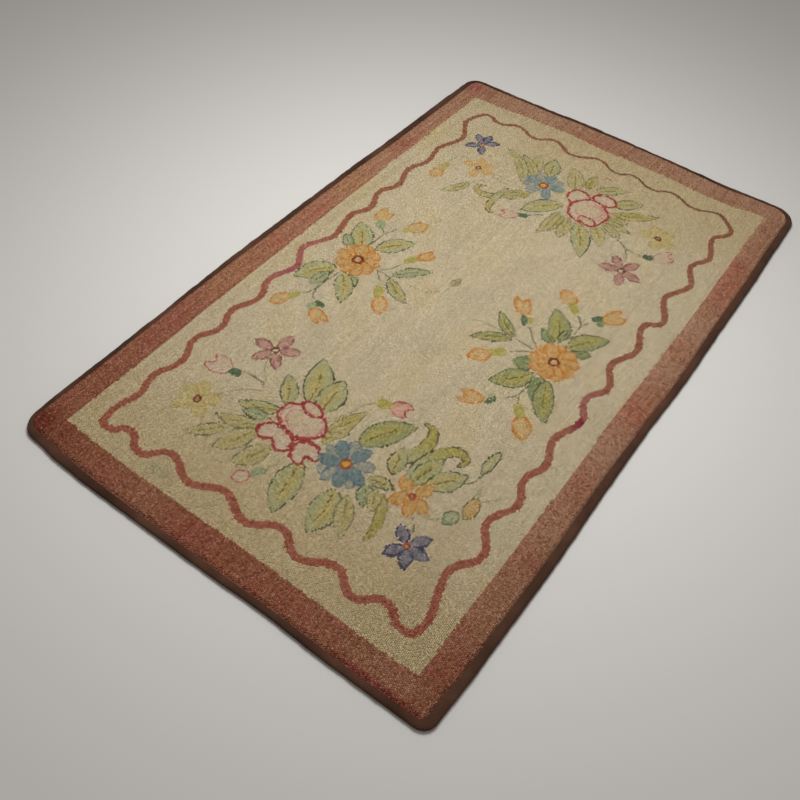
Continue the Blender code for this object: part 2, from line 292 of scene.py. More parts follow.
LEFT_SPRAY = (
    Stem(((-260, 26), (-259, 56), (-257, 84), (-250, 104), (-240, 126))),
    Stem(((-244, 26), (-243, 44), (-243, 58))), Stem(((-258, 80), (-264, 92), (-272, 98))),
    Stem(((-268, -74), (-268, -110), (-267, -150), (-280, -178))),
    Stem(((-260, -76), (-262, -120), (-260, -158), (-244, -176))),
    Stem(((-200, -18), (-180, -18), (-161, -20))), Stem(((-196, -14), (-178, 4), (-166, 36))),
    Stem(((-198, -20), (-184, -32), (-172, -44))),
    Stem(((-132, -13), (-100, -12), (-78, -7), (-62, 6), (-50, 22), (-42, 44)), "stem_faded"),
    Stem(((-206, 172), (-192, 188), (-188, 210)), "stem_faded"),
    Leaf(-268, 14, -324, 86, 25, -4, "sage"), Leaf(-292, 4, -322, 34, 13, 0, "mint"),
    Leaf(-240, 32, -184, 104, 21, 4, "sage"), Leaf(-272, -66, -326, -144, 25, -6, "sage"),
    Leaf(-276, -88, -284, -142, 14, 0, "mint"), Leaf(-234, -58, -208, -108, 15, 0, "mint"),
    Leaf(-254, -70, -200, -146, 20, 6, "sage"), Leaf(-163, -12, -102, 50, 14, 5, "mint"),
    Leaf(-163, -22, -92, -62, 15, -4, "sage"), Leaf(-46, 42, -44, 72, 8, 0, "faded"),
    Bud(-297, 137, 26, 22, 82, "tulip", "dull orange"), Bud(-212, 152, 25, 16, 56, "pod", "dull orange"),
    Bud(-141, 84, 21, 16, 55, "tulip", "orange"), Bud(-132, -100, 25, 15, -58, "pod", "orange"),
    Bud(-213, -204, 25, 20, -28, "tulip", "orange"), Bud(-304, -212, 22, 15, -112, "pod", "peach"),
    Calyx(-283, 108, 13, 12, 110, "leaf_mint"), Calyx(-226, 130, 10, 8, 50, "calyx_yellow"),
    Calyx(-160, 54, 16, 10, 60, "calyx_yellow"), Calyx(-157, -70, 17, 12, -60, "calyx_yellow"),
    Calyx(-230, -176, 12, 8, 0, "teal"), Calyx(-240, -190, 10, 9, 80, "leaf_mint"),
    Calyx(-288, -188, 12, 10, -110, "calyx_yellow"),
    Flower(
        -251, -18, 51, 15, (90, 52, 14, -24, -62, -98, -136, -176, -216, -248), "broad", "faded daisy", 14,
    ),
)

RIGHT_SPRAY = (
    Stem(((231, 38), (230, 74), (229, 108), (238, 132))), Stem(((229, 108), (222, 122), (206, 138))),
    Stem(((225, -60), (225, -100), (222, -128), (204, -154))),
    Stem(((224, -126), (230, -142), (240, -152))), Stem(((190, -7), (168, -6), (140, -4))),
    Stem(((186, 4), (166, 20), (150, 38), (136, 46))), Stem(((182, -18), (166, -28), (150, -42))),
    Stem(((142, -7), (100, -4), (61, -7), (46, -14), (34, -26)), "stem_faded"),
    Leaf(208, 34, 170, 56, 15, 0, "teal"), Leaf(214, 38, 162, 124, 23, -6, "moss"),
    Leaf(212, 44, 218, 90, 9, 0, "teal"), Leaf(246, 36, 286, 48, 14, 0, "teal"),
    Leaf(236, 38, 296, 110, 22, 6, "moss"), Leaf(208, -42, 166, -58, 19, 0, "teal"),
    Leaf(216, -62, 156, -130, 24, 6, "moss"), Leaf(236, -60, 246, -122, 17, 0, "teal"),
    Leaf(250, -62, 297, -158, 21, -6, "moss"), Leaf(137, -2, 76, 44, 13, 5, "moss"),
    Leaf(136, -12, 65, -56, 13, -5, "moss"), Bud(168, 170, 24, 17, 140, "pod", "orange"),
    Bud(273, 174, 29, 23, 58, "tulip", "orange"), Bud(106, 86, 28, 22, 124, "tulip", "orange"),
    Bud(108, -86, 23, 16, -132, "pod", "orange"), Bud(154, -188, 26, 22, -160, "tulip", "orange"),
    Bud(268, -192, 27, 17, -56, "pod", "orange"), Calyx(192, 148, 16, 11, 135, "calyx_yellow"),
    Calyx(245, 152, 12, 8, 60, "teal"), Calyx(258, 144, 10, 7, 80, "leaf_teal"),
    Calyx(128, 51, 14, 7, 128, "teal"), Calyx(138, 60, 9, 6, 110, "leaf_yellow"),
    Calyx(132, -57, 15, 12, -135, "calyx_yellow"), Calyx(187, -172, 12, 7, 70, "teal"),
    Calyx(178, -162, 10, 6, 170, "leaf_pale"), Calyx(243, -160, 15, 12, -50, "calyx_yellow"),
    Flower(
        234, -11, 51, 15, (100, 62, 24, -14, -52, -90, -126, -162, -200, -232), "broad", "daisy", 12,
    ),
)

BOTTOM_SPRAY = (
    Stem(((-230, -408), (-200, -407), (-180, -408), (-168, -414))),
    Stem(((-214, -345), (-204, -370), (-188, -390), (-172, -404)), "stem_faded"),
    Stem(((-160, -420), (-190, -440), (-212, -462), (-226, -486)), "stem_faded"),
    Stem(((24, -312), (8, -330), (-2, -360), (-18, -396)), "stem_faded"),
    Stem(((282, -386), (284, -360), (280, -346)), "stem_faded"),
    Stem(((296, -382), (312, -364), (322, -348)), "stem_faded"),
    Stem(((270, -328), (264, -352), (252, -368))),
    Stem(((260, -452), (244, -462), (222, -466)), "stem_faded"),
    Stem(((240, -504), (232, -488), (222, -478))),
    Stem(((-44, -556), (-36, -540), (-36, -516)), "stem_faded"),
    Scroll(14, "olive", ((128, -420), (136, -388), (152, -362), (154, -326), (142, -300), (120, -298))),
    Scroll(13, "olive", ((164, -420), (170, -376), (186, -336), (208, -314), (230, -322), (224, -342))),
    Scroll(10, "gold", ((150, -470), (166, -492), (180, -520), (184, -546), (182, -564))),
    Leaf(-78, -394, -126, -288, 28, -6, "sage"), Leaf(-46, -396, -60, -307, 26, 0, "sage"),
    Leaf(-106, -424, -154, -362, 17, -4, "sage"), Leaf(-106, -436, -186, -470, 15, 5, "sage"),
    Leaf(-112, -466, -166, -480, 12, 0, "mint"), Leaf(-112, -486, -196, -516, 14, 5, "faded"),
    Leaf(-158, -520, -216, -585, 13, 4, "faded"), Leaf(-112, -500, -150, -576, 21, 3, "faded"),
    Leaf(-68, -512, -104, -580, 20, 5, "faded"), Leaf(0, -504, 27, -616, 26, -6, "sage"),
    Leaf(80, -514, 96, -610, 27, 5, "sage"), Leaf(106, -510, 148, -586, 17, 0, "faded"),
    Leaf(2, -452, 22, -342, 16, 6, "gold"), Leaf(-6, -420, 26, -404, 14, 0, "faded"),
    Leaf(54, -412, 116, -314, 27, 7, "moss"), Leaf(112, -462, 164, -452, 12, 4, "sage"),
    Leaf(118, -470, 140, -512, 15, 0, "mint"), Leaf(138, -470, 158, -512, 13, 0, "faded"),
    Leaf(140, -428, 124, -366, 17, 0, "sage"), Leaf(178, -426, 196, -342, 19, 0, "olive"),
    Leaf(200, -410, 250, -346, 21, -3, "sage"), Bud(-271, -424, 30, 28, 178, "tulip", "rose"),
    Bud(65, -298, 23, 24, 6, "tulip", "pink"), Bud(-66, -592, 16, 12, -125, "pod", "rose"),
    Bud(292, -402, 24, 13, 94, "pod", "cupped"), Bud(267, -298, 30, 10, 88, "pod", "green"),
    Bud(274, -438, 17, 13, 80, "pod", "mint"), Calyx(-237, -421, 12, 10, 0, "teal"),
    Calyx(34, -306, 14, 13, 20, "calyx_yellow"), Calyx(-48, -566, 13, 9, 50, "leaf_mint"),
    Flower(-214, -330, 50, 11, (86, 28, -48, 244, 182), "soft", "mauve", 9),
    Flower(-247, -513, 46, 13, (112, 34, -38, -122, 162), "soft", "straw", 9),
    Flower(196, -443, 44, 12, (64, 150, -20, -68, -132), "pointed", "apricot", 8),
    Flower(246, -528, 44, 11, (56, 142, -2, -62, -124), "pointed", "navy", 7),
)

# The two roses: petals from the back to the front, then the lines inside the bowl
ROSES = (
    Bud(75, 514, 28, 19, 4, "oval", "bold rose"), Bud(20, 485, 29, 26, 128, "bowl", "bold rose"),
    Bud(63, 452, 47, 45, 20, "bowl", "bold rose"), Bud(76, 420, 22, 13, -8, "oval", "bold rose"),
    Arc(66, 456, 34, 32, -160, 100, "rose_inner"), Arc(72, 460, 21, 21, -70, 170, "rose_inner"),
    Arc(43, 588, 13, 10, 30, 160, "pink_line"), Arc(43, 588, 14, 11, 200, 320, "pink_fill"),
    Bud(-60, -432, 51, 35, 0, "bowl", "bold rose"), Bud(-62, -400, 23, 13, -6, "oval", "bold rose"),
    Bud(-76, -487, 26, 37, -96, "notched", "bold rose"),
    Bud(-12, -484, 27, 26, -40, "notched", "bold rose"), Arc(-58, -434, 33, 25, 60, 330, "rose_inner"),
    Arc(-60, -434, 43, 30, -70, 50, "rose_inner"), Arc(-60, -434, 44, 30, 130, 230, "pink_line"),
    Arc(-60, -462, 50, 8, 190, 350, "rose_line", 3.8), Arc(-41, -487, 2, 14, 0, 360, "rose_line", 3.0),
)
BLUE_FLOWERS = (
    BlueFlower(-69, 472, 52, 12, (86, 14, -52, 172), (130, 48, -116, -160), "blue_soft", "blue"),
    BlueFlower(
        63, -459, 54, 12, (70, 140, 200, -72, -20), (106, 26, 168, 232, -46, -106), "blue", "blue_deep",
    ),
)

# The wavy line: the places along and across each side of its crests, which are flat for a short way
LEFT_CRESTS = (
    (580, -356), (505, -328), (430, -346), (375, -339), (315, -353), (252, -340), (200, -355),
    (142, -340), (90, -354), (15, -342), (-60, -366), (-120, -343), (-182, -357), (-242, -340),
    (-300, -354), (-352, -341), (-405, -356), (-465, -338), (-522, -350), (-572, -341), (-625, -348),
)
NEAR_CRESTS = (
    (-327, -658), (-288, -643), (-243, -662), (-190, -635), (-128, -655), (-65, -635), (0, -655),
    (60, -632), (115, -654), (177, -633), (230, -655), (278, -634), (328, -652),
)
RIGHT_CRESTS = (
    (-620, 349), (-530, 329), (-465, 354), (-405, 331), (-343, 349), (-290, 335), (-240, 346),
    (-180, 332), (-110, 348), (-58, 333), (-5, 350), (55, 331), (122, 350), (188, 334), (232, 356),
    (302, 333), (370, 355), (430, 336), (483, 352), (548, 336), (596, 354),
)
FAR_CRESTS = (
    (305, 643), (250, 630), (188, 647), (140, 632), (85, 647), (42, 634), (-12, 651), (-78, 629),
    (-138, 650), (-188, 629), (-240, 643), (-290, 626), (-325, 634),
)
CREST_HALF_LENGTH = 13.0
WAVE_HALF_WIDTH = 7.2
FAR_WAVE_PLACES = (-340, -20, 90, 290, 345)
FAR_WAVE_HALF_WIDTHS = (6.0, 5.0, 3.6, 3.8, 6.5)
CURVE_STEPS = 10

# Soft patches of another tone: a power above one gives a patch a firmer edge
Patch = namedtuple("Patch", "x y reach_x reach_y yarn strength power", defaults=(1.0,))
WAVE_PATCHES = (
    Patch(-347, -95, 40, 105, "wave_pink", 0.80, 2.0),
    Patch(-347, -130, 40, 32, "wave_magenta", 0.85, 1.5),
    Patch(344, -60, 40, 45, "wave_mauve", 0.80, 2.0),
    Patch(344, -118, 40, 16, "wave_crimson", 0.95, 4.0),
    Patch(170, 638, 185, 40, "wave_dark", 0.75, 2.0),
)
BORDER_PATCHES = (
    Patch(-425, 395, 30, 42, "rose_wine", 0.50), Patch(-425, 190, 30, 55, "rose_gold", 0.50),
    Patch(-425, 50, 30, 50, "rose_red", 0.40), Patch(-425, -80, 30, 22, "rose_red", 0.45),
    Patch(-425, -225, 30, 75, "rose_gold", 0.40), Patch(-425, -400, 30, 85, "rose_wine", 0.35),
    Patch(412, 500, 16, 16, "crimson", 0.40, 1.5), Patch(425, 430, 40, 90, "rose_red", 0.45, 1.5),
    Patch(425, 260, 40, 45, "rose_faded", 0.65), Patch(425, 100, 35, 50, "rose_faded", 0.55),
    Patch(425, -30, 40, 34, "rose_red", 0.45), Patch(425, -145, 35, 75, "rose_faded", 0.75),
    Patch(425, -345, 40, 75, "rose_olive", 0.75), Patch(433, -433, 14, 5, "crimson", 0.55),
    Patch(425, -520, 40, 90, "rose_olive", 0.60), Patch(-430, 730, 35, 30, "rose_wine", 0.70),
    Patch(-215, 725, 90, 30, "rose_faded", 0.65), Patch(-65, 708, 38, 8, "rose_red", 0.60),
    Patch(20, 712, 12, 7, "crimson", 0.50), Patch(250, 725, 200, 30, "rose_faded", 0.30),
    Patch(-430, -725, 35, 38, "rose_deep", 0.90, 1.5), Patch(-365, -725, 38, 35, "rose_deep", 0.35),
    Patch(-165, -725, 50, 35, "rose_olive", 0.35), Patch(-50, -725, 35, 35, "rose_wine", 0.40),
    Patch(340, -722, 100, 22, "rose_olive", 0.45), Patch(350, -751, 88, 8, "crimson", 0.60, 2.0),
    Patch(0, -751, 300, 7, "rose_red", 0.30, 2.0),
)
STAINS = (
    Patch(20, -135, 34, 26, "stain", 0.35), Patch(-190, -674, 30, 18, "stain", 0.55),
    Patch(-385, 490, 20, 70, "yellowed", 0.45), Patch(-385, 200, 25, 60, "yellowed", 0.35),
    Patch(90, 60, 60, 90, "cream_grey", 0.25), Patch(-120, 240, 90, 60, "cream_gold", 0.25),
    Patch(-330, 600, 120, 80, "cream", 0.55), Patch(-385, 0, 55, 420, "cream_darker", 0.45),
    Patch(345, -650, 80, 70, "burlap", 0.16),
)
# The cream ground turns darker and yellower towards both ends
DARKER_ENDS_PLACES = (-760, -600, -420, 380, 600, 760)
DARKER_ENDS = (0.90, 0.80, 0.10, 0.10, 0.80, 0.92)
FLECKS = 90

SEED = 17


def edge_at(edge, place):
    """The rim's bow and the tape's width at these places along a side."""
    rows = 0.001 * np.array(edge)
    number = np.clip(np.searchsorted(rows[:, 0], place) - 1, 0, len(rows) - 2)
    start = rows[number]
    end = rows[number + 1]
    share = clamp((place - start[:, 0]) / (end[:, 0] - start[:, 0]))[:, None]
    value = start + (end - start) * share * share * (3.0 - 2.0 * share)
    return value[:, 1], value[:, 2]


def rounded(x, y):
    """Takes points of the plain rectangle to the rectangle with round corners."""
    new_x = x.copy()
    new_y = y.copy()
    for corner in CORNERS:
        middle_x = (RIM_RIGHT if corner.side_x > 0 else RIM_LEFT) - corner.radius
        middle_y = (RIM_FAR if corner.side_y > 0 else RIM_NEAR) - corner.radius
        across = (x * corner.side_x - middle_x) / corner.radius
        along = (y * corner.side_y - middle_y) / corner.radius
        inside = (across > 0.0) & (along > 0.0)
        bent_x = across[inside] * np.sqrt(1.0 - along[inside] ** 2 / 2.0)
        bent_y = along[inside] * np.sqrt(1.0 - across[inside] ** 2 / 2.0)
        new_x[inside] = corner.side_x * (middle_x + corner.radius * bent_x)
        new_y[inside] = corner.side_y * (middle_y + corner.radius * bent_y)
    return new_x, new_y


def bowed(x, y):
    """Adds the sides' bows, which fade towards the middle of the rug."""
    out_right = edge_at(RIGHT_EDGE, y)[0] * x / RIM_RIGHT
    out_left = edge_at(LEFT_EDGE, y)[0] * x / RIM_LEFT
    out_far = edge_at(FAR_EDGE, x)[0] * y / RIM_FAR
    out_near = edge_at(NEAR_EDGE, x)[0] * y / RIM_NEAR
    return x + np.where(x > 0, out_right, out_left), y + np.where(y > 0, out_far, out_near)


def plan_point(x, y):
    """The real places of points of the plain rectangle."""
    return bowed(*rounded(x, y))


def rim_inset(x, y):
    """Distance of points of the plain rectangle to its nearest side."""
    across = np.minimum(x + RIM_LEFT, RIM_RIGHT - x)
    along = np.minimum(y + RIM_NEAR, RIM_FAR - y)
    return np.minimum(across, along)


def swell(x, y):
    """The pile's slow unevenness."""
    wander = SWELL_WANDER * np.sin(math.tau * SWELL_WANDER_WAVES * y)
    across = np.sin(math.tau * SWELL_WAVES_ACROSS * x + wander)
    along = np.sin(math.tau * SWELL_WAVES_ALONG * y + SWELL_START)
    return SWELL_HEIGHT * (across + along)


def clamp(value):
    """Keeps values between 0 and 1."""
    return np.clip(value, 0.0, 1.0)


def drift(x, y, length, seed, waves=7):
    """A smooth unevenness, about -1 to 1, with patches about this long."""
    draws = np.random.default_rng(seed)
    total = np.zeros_like(x)
    for _ in range(waves):
        heading = draws.uniform(0.0, math.tau)
        turns = math.tau / (length * draws.uniform(0.7, 1.8))
        start = draws.uniform(0.0, math.tau)
        total += np.sin(turns * (x * math.cos(heading) + y * math.sin(heading)) + start)
    return total / math.sqrt(waves)


def to_drawing(x, y):
    """A real place as millimetres on the drawing."""
    return (x - DRAWING_SHIFT_X) / DRAWING_SCALE, (y - DRAWING_SHIFT_Y) / DRAWING_SCALE


def yarn(name):
    """A dyed yarn's colour as linear light."""
    screen = np.array(YARNS[name]) / 255.0
    linear = np.where(screen > 0.04045, ((screen + 0.055) / 1.055) ** 2.4, screen / 12.92)
    return linear * YARN_GAIN


def smooth_curve(points, closed=False, steps=CURVE_STEPS):
    """Points close together along a smooth curve through these."""
    points = np.array(points, float)
    if closed:
        padded = np.vstack([points[-1:], points, points[:2]])
    else:
        first = 2.0 * points[:1] - points[1:2]
        last = 2.0 * points[-1:] - points[-2:-1]
        padded = np.vstack([first, points, last])
    share = (np.arange(steps) / steps)[:, None]
    pieces = []
    for before, start, end, after in zip(padded, padded[1:], padded[2:], padded[3:]):
        bend = 2.0 * before - 5.0 * start + 4.0 * end - after
        turn = 3.0 * (start - end) + after - before
        pieces.append(start + 0.5 * (share * (end - before) + share**2 * bend + share**3 * turn))
    if not closed:
        pieces.append(points[-1:])
    return np.vstack(pieces)


def shape_width(shape, share):
    """A shape's half width at this share of its length, as a part of its greatest."""
    rising = np.sin(0.5 * np.pi * clamp(share / shape.fullest)) ** shape.base_power
    fall = clamp((share - shape.fullest) / (1.0 - shape.fullest))
    falling = clamp(np.cos(0.5 * np.pi * fall)) ** shape.tip_power
    return np.where(share < shape.fullest, rising, falling)


# Loops about a shape: how far along it, how far to its left, its half width there, and how far
# past its edge each of them lies
Cover = namedtuple("Cover", "loops share side half edge")


class Pattern:
    """The yarn colour at each of many places, hooked shape by shape."""

    def __init__(self, x, y, seed):
        self.x, self.y = to_drawing(x, y)
        self.chance = np.random.default_rng(seed).random(len(x))
        self.colour = np.tile(yarn("cream"), (len(x), 1))
        self.uneven = drift(self.x, self.y, 18.0, seed=6)
        self.kept = np.clip(0.82 + 0.30 * drift(self.x, self.y, 36.0, seed=7), 0.35, 1.0)

    def mix(self, loops, name, amount):
        """Takes these loops this far towards a yarn's colour."""
        amount = np.broadcast_to(amount, loops.shape)[:, None]
        self.colour[loops] += (yarn(name) - self.colour[loops]) * amount

    def fill(self, cover, name, amount=1.0):
        """Takes the loops inside a shape this far towards a yarn's colour."""
        inside = cover.edge < 0.0
        self.mix(cover.loops[inside], name, np.broadcast_to(amount, inside.shape)[inside])

    def hook(self, cover, chosen, name, share=1.0, strength=1.0):
        """Hooks the chosen loops in this yarn, or only a share of them."""
        kept = chosen & (self.chance[cover.loops] < share)
        self.mix(cover.loops[kept], name, strength)

    def trace(self, cover, half_width, name, share=1.0, strength=1.0, chosen=True):
        """Hooks a shape's outline, uneven in width and faded in places."""
        width = half_width * (1.0 + 0.22 * self.uneven[cover.loops])
        if half_width < BOLD_LINE:
            strength = strength * self.kept[cover.loops]
        strength = np.broadcast_to(strength, cover.loops.shape)
        kept = chosen & (np.abs(cover.edge) < width) & (self.chance[cover.loops] < share)
        self.mix(cover.loops[kept], name, strength[kept])

    def near(self, curve, reach):
        """The loops about a curve, and how far along it and to its left each lies."""
        low = curve.min(0) - reach
        high = curve.max(0) + reach
        inside = (self.x > low[0]) & (self.x < high[0]) & (self.y > low[1]) & (self.y < high[1])
        loops = np.flatnonzero(inside)
        starts = curve[:-1]
        runs = np.diff(curve, axis=0)
        lengths = np.maximum(np.hypot(*runs.T), 1e-6)
        to_x = self.x[loops][:, None] - starts[:, 0]
        to_y = self.y[loops][:, None] - starts[:, 1]
        part = clamp((to_x * runs[:, 0] + to_y * runs[:, 1]) / lengths**2)
        off_x = to_x - part * runs[:, 0]
        off_y = to_y - part * runs[:, 1]
        distance = np.hypot(off_x, off_y)
        nearest = distance.argmin(1)
        row = np.arange(len(loops))
        travelled = np.concatenate([[0.0], np.cumsum(lengths)])
        share = (travelled[nearest] + part[row, nearest] * lengths[nearest]) / travelled[-1]
        turn = runs[nearest, 0] * off_y[row, nearest] - runs[nearest, 1] * off_x[row, nearest]
        side = distance[row, nearest] * np.where(turn < 0.0, -1.0, 1.0)
        return loops, share, side

    def blade(self, curve, half_width, shape):
        """The loops about a shape along a curve."""
        loops, share, side = self.near(curve, half_width + 2.0 * BOLD_LINE)
        half = half_width * shape_width(SHAPES[shape], share)
        return Cover(loops, share, side, half, np.abs(side) - half)

    def blob(self, bud):
        """The loops in and about a closed outline."""
        radii = np.array(OUTLINES[bud.outline])
        bearing = np.arange(len(radii)) * math.tau / len(radii)
        long = bud.half_long * radii * np.cos(bearing)
        wide = bud.half_wide * radii * np.sin(bearing)
        turn = math.radians(bud.turn)
        x = bud.x + long * math.cos(turn) - wide * math.sin(turn)
        y = bud.y + long * math.sin(turn) + wide * math.cos(turn)
        curve = smooth_curve(np.column_stack([x, y]), closed=True, steps=6)
        loops, share, side = self.near(np.vstack([curve, curve[:1]]), 2.0 * BOLD_LINE)
        return Cover(loops, share, side, bud.half_wide, -side)

    def disc(self, x, y, half_long, half_wide, turn_degrees):
        """The loops about an oval, with their bearing in it as their share."""
        turn = math.radians(turn_degrees)
        across = self.x - x
        along = self.y - y
        reach = max(half_long, half_wide) + 2.0 * BOLD_LINE
        loops = np.flatnonzero(np.hypot(across, along) < reach)
        long = across[loops] * math.cos(turn) + along[loops] * math.sin(turn)
        wide = along[loops] * math.cos(turn) - across[loops] * math.sin(turn)
        size = np.hypot(long / half_long, wide / half_wide)
        radius = np.hypot(long, wide) / np.maximum(size, 1e-6)
        bearing = np.degrees(np.arctan2(wide / half_wide, long / half_long))
        return Cover(loops, bearing, wide, radius, (size - 1.0) * radius)


def bent_line(start, end, bend, steps=12):
    """A line whose middle stands this far to its left."""
    start = np.array(start, float)
    end = np.array(end, float)
    run = end - start
    left = np.array([-run[1], run[0]]) / np.hypot(*run)
    share = np.linspace(0.0, 1.0, steps + 1)[:, None]
    return start + run * share + left * bend * 4.0 * share * (1.0 - share)


def hook_leaf(rug, leaf):
    """A leaf: a pale rim, a soft heart beside the midrib, a broken vein and a thin outline."""
    dyes = LEAF_DYES[leaf.dye]
    curve = bent_line((leaf.base_x, leaf.base_y), (leaf.tip_x, leaf.tip_y), leaf.bend)
    cover = rug.blade(curve, leaf.half_width, "leaf")
    rug.fill(cover, dyes.rim)
    across = cover.side / np.maximum(cover.half, FINE_LINE)
    heart = np.exp(-(((across - 0.15) / 0.50) ** 2)) * clamp(4.0 * (0.92 - cover.share))
    rug.fill(cover, dyes.heart, np.minimum(heart * (0.75 + 0.5 * rug.chance[cover.loops]), 1.0))
    vein = (np.abs(cover.side) < 0.9 * FINE_LINE) & (cover.share > 0.10) & (cover.share < 0.66)
    rug.hook(cover, vein, dyes.line, share=0.90, strength=0.75)
    rug.trace(cover, FINE_LINE, dyes.line, share=0.90)


def hook_scroll(rug, scroll):
    """A curling leaf: a filled stroke with an outline."""
    dyes = LEAF_DYES[scroll.dye]
    cover = rug.blade(smooth_curve(scroll.points), scroll.half_width, "scroll")
    rug.fill(cover, dyes.rim)
    rug.fill(cover, dyes.heart, clamp((cover.share - 0.2) / 0.4))
    rug.trace(cover, FINE_LINE, dyes.line, share=0.90)


def hook_stem(rug, stem):
    """A stem one loop wide."""
    cover = rug.blade(smooth_curve(stem.points), 1.1 * FINE_LINE, "stroke")
    rug.hook(cover, cover.edge < 0.0, stem.dye, share=0.88, strength=0.9)


def hook_petals(rug, flower, angles, inner, shape, dyes):
    """A flower's outlined petals, at these bearings."""
    middle = np.array([flower.x, flower.y])
    for angle in np.radians(angles):
        heading = np.array([math.cos(angle), math.sin(angle)])
        curve = bent_line(middle + inner * heading, middle + flower.radius * heading, 0.0)
        cover = rug.blade(curve, flower.petal_half, shape)
        rug.fill(cover, dyes.fill)
        rug.fill(cover, dyes.line, np.clip(0.16 + 0.20 * rug.uneven[cover.loops], 0.0, 0.45))
        rug.trace(cover, dyes.line_half, dyes.line, share=0.94, chosen=cover.share > 0.12)


def hook_middle(rug, flower, radius, ring, middle):
    """A flower's middle: a ring about a spot."""
    cover = rug.disc(flower.x, flower.y, radius, radius, 0.0)
    rug.fill(cover, ring)
    rug.hook(cover, cover.edge < -0.45 * radius, middle)


def hook_flower(rug, flower):
    """A flower of outlined petals about a small middle."""
    dyes = FLOWER_DYES[flower.dye]
    hook_petals(rug, flower, flower.angles, 0.08 * flower.radius, flower.shape, dyes)
    hook_middle(rug, flower, flower.ring_radius, dyes.ring, dyes.middle)


def hook_blue_flower(rug, flower):
    """The blue flower: pale outlined petals, with blue ones over them."""
    for angles, fill in ((flower.pale_angles, "blue_pale"), (flower.blue_angles, flower.fill)):
        hook_petals(rug, flower, angles, 4.0, "broad", BudDyes(fill, flower.line, 1.5))
    hook_middle(rug, flower, 12.0, "rust", "yellow")


def hook_bud(rug, bud):
    """A bud, tulip or rose's petal: a closed outline with a lighter middle."""
    dyes = BUD_DYES[bud.dye]
    cover = rug.blob(bud)
    rug.fill(cover, dyes.fill)
    rug.hook(cover, cover.edge < -0.35 * bud.half_wide, "cream_gold", share=0.5, strength=0.6)
    rug.trace(cover, dyes.line_half, dyes.line, share=0.97)


def hook_calyx(rug, calyx):
    """The green cup that a bud stands in, with a soft edge."""
    cover = rug.disc(calyx.x, calyx.y, 1.2 * calyx.half_long, 1.05 * calyx.half_wide, calyx.turn)
    firmness = np.clip(0.45 - cover.edge / (0.4 * calyx.half_wide), 0.0, 0.97)
    rug.hook(cover, cover.edge < 0.0, calyx.dye, share=firmness)


def hook_arc(rug, arc):
    """A fine arc, as inside a rose's bowl."""
    cover = rug.disc(arc.x, arc.y, arc.half_long, arc.half_wide, 0.0)
    bearing = (cover.share - arc.start) % 360.0
    rug.trace(cover, arc.half_line, arc.line, share=0.90, chosen=bearing < arc.end - arc.start)


HOOKS = {
    Stem: hook_stem, Scroll: hook_scroll, Leaf: hook_leaf, Bud: hook_bud, Calyx: hook_calyx,
    Flower: hook_flower, BlueFlower: hook_blue_flower, Arc: hook_arc,
}


def wave_line():
    """The wavy line's middle, once round the rug."""
    points = []
    for crests in (LEFT_CRESTS, NEAR_CRESTS, RIGHT_CRESTS, FAR_CRESTS):
        upright = crests in (LEFT_CRESTS, RIGHT_CRESTS)
        reach = math.copysign(CREST_HALF_LENGTH, crests[1][0] - crests[0][0])
        for along, across in crests:
            for place in (along - reach, along + reach):
                points.append((across, place) if upright else (place, across))
    curve = smooth_curve(points, closed=True, steps=CURVE_STEPS)
    return np.vstack([curve, curve[:1]])


def hook_wave(rug):
    """The wavy line between the sprays and the border."""
    curve = wave_line()
    far_width = np.interp(rug.x, FAR_WAVE_PLACES, FAR_WAVE_HALF_WIDTHS)
    towards_far = clamp((rug.y - 560.0) / 60.0)
    width = WAVE_HALF_WIDTH + (far_width - WAVE_HALF_WIDTH) * towards_far
    width = width * np.interp(rug.y, (100.0, 560.0), (1.0, 0.86))
    width = width + 0.6 * drift(rug.x, rug.y, 9.0, seed=8)
    steps = 4 * CURVE_STEPS
    for first in range(0, len(curve) - 1, steps):
        piece = curve[first : first + steps + 1]
        near_loops, _, side = rug.near(piece, 1.4 * WAVE_HALF_WIDTH)
        loops = near_loops[np.abs(side) < width[near_loops]]
        rug.mix(loops, "wave", 1.0)
        rug.mix(loops, "wave_near", clamp((200.0 - rug.y[loops]) / 800.0))
        hook_patches(rug, loops, WAVE_PATCHES)


def hook_patches(rug, loops, patches):
    """Takes these loops towards the yarns of the soft patches they lie in."""
    for patch in patches:
        across = (rug.x[loops] - patch.x) / patch.reach_x
        along = (rug.y[loops] - patch.y) / patch.reach_y
        amount = patch.strength * np.exp(-((across**2 + along**2) ** patch.power))
        rug.mix(loops, patch.yarn, amount)


def hook_ground(rug):
    """The cream ground's changes of tone, stains and dark flecks."""
    everywhere = np.arange(len(rug.x))
    tone = drift(rug.x, rug.y, 150.0, seed=3)
    rug.mix(everywhere, "cream_gold", np.clip(0.30 * tone, 0.0, 0.5))
    rug.mix(everywhere, "cream_grey", np.clip(-0.30 * tone, 0.0, 0.5))
    rug.mix(everywhere, "cream_darker", np.interp(rug.y, DARKER_ENDS_PLACES, DARKER_ENDS))
    hook_patches(rug, everywhere, STAINS)
    flecks = np.random.default_rng(SEED + 5).choice(len(rug.x), FLECKS, replace=False)
    rug.mix(flecks, "fleck", 0.6)


def meeting(places, along):
    """How far across a side the cream field ends, at these places along it."""
    return np.interp(along, *np.array(places).T)


